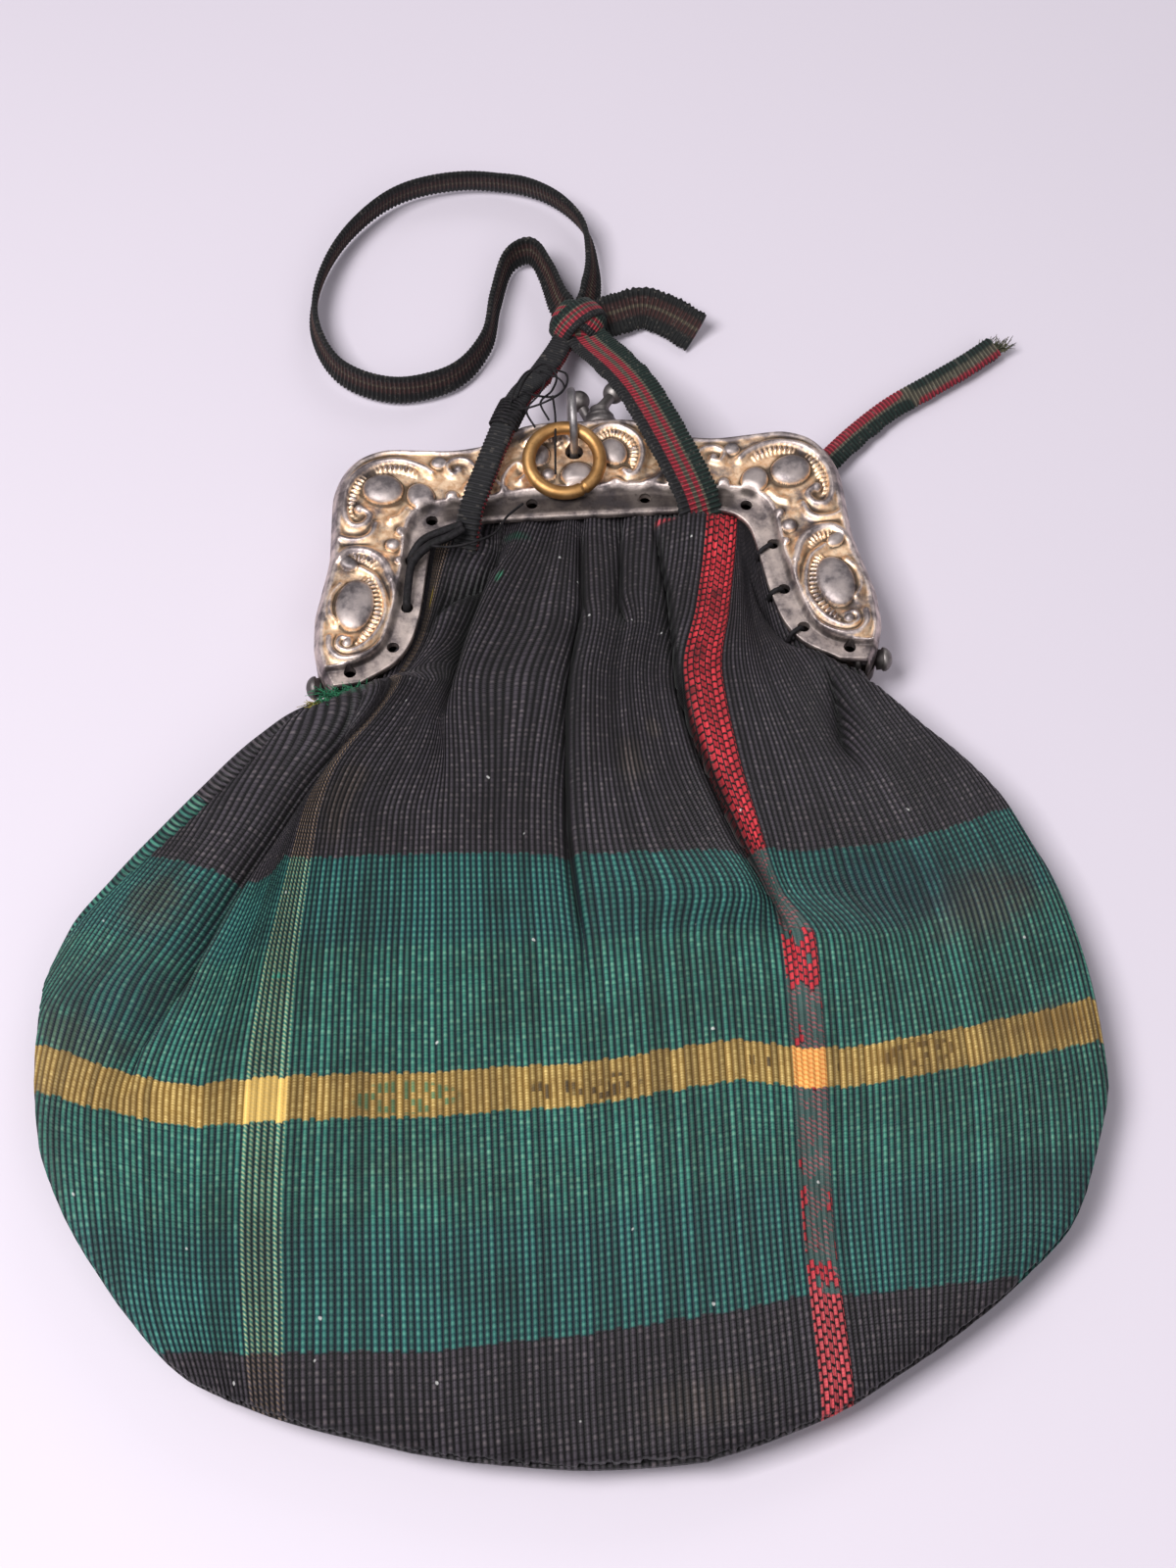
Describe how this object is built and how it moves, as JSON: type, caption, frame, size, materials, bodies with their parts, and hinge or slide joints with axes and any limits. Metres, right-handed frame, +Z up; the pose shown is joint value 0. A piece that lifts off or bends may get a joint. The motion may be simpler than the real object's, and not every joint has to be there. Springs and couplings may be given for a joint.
{
  "type": "tartan sporran purse",
  "caption": "Small round sporran purse of ribbed tartan silk, gathered into a chased silver kiss-lock frame, with a brass hanging ring and a knotted woven ribbon, lying on its back.",
  "frame": {"origin": "on the table, under the middle of the purse without its ribbon", "axes": "+X to the right and +Y from the bag's round bottom to the clasp, as the picture shows it; +Z up from the table, out of the purse's front"},
  "size_m": [0.1077, 0.16, 0.016],
  "materials": {
    "tartan_silk": "ribbed silk in black and green tartan with yellow and red stripes",
    "silver": "worn chased silver with gilt left in the hollows",
    "brass": "dull polished brass",
    "ribbon": "cross-ribbed woven ribbon in black, green and red"
  },
  "bodies": {
    "root": {"bag_front": "tartan_silk", "bag_back": "tartan_silk", "frame_front": "silver", "frame_back": "silver", "hinge_rivet_left": "silver", "hinge_rivet_right": "silver", "ring_link": "silver", "hanging_ring": "brass", "ribbon_left": "ribbon", "ribbon_right": "ribbon", "ribbon_loop": "ribbon", "ribbon_end_short": "ribbon", "ribbon_end_long": "ribbon", "ribbon_knot": "ribbon"}
  },
  "joints": []
}
